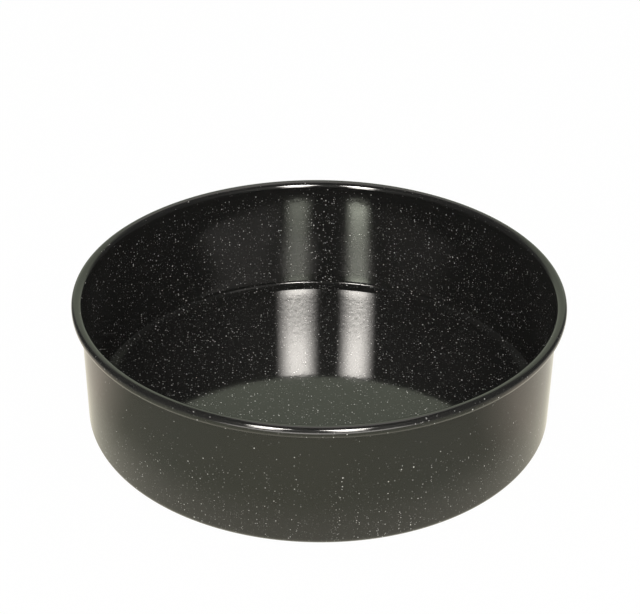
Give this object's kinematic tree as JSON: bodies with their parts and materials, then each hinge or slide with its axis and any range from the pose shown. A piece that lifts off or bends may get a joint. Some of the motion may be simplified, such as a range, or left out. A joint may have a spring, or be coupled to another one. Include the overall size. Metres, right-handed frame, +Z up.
{
  "type": "round cake pan",
  "caption": "Deep round cake pan: enamelled sheet steel with a straight wall, a rolled rim and a flat floor, for baking a layer cake.",
  "frame": {"origin": "on the table, under the middle of the base", "axes": "+Z up along the pan's axis, out of its mouth; +X and +Y lie in the plane of the table"},
  "size_m": [0.2512, 0.2512, 0.0693],
  "materials": {
    "steel": "bare pressed sheet, hidden under the enamel",
    "speckled_enamel": "glossy black vitreous enamel with fine white specks",
    "base_enamel": "black vitreous enamel, a little duller than the wall"
  },
  "bodies": {
    "root": {"steel_shell": "steel", "inner_enamel": "speckled_enamel", "outer_enamel": "speckled_enamel", "base_enamel": "base_enamel"}
  },
  "joints": []
}
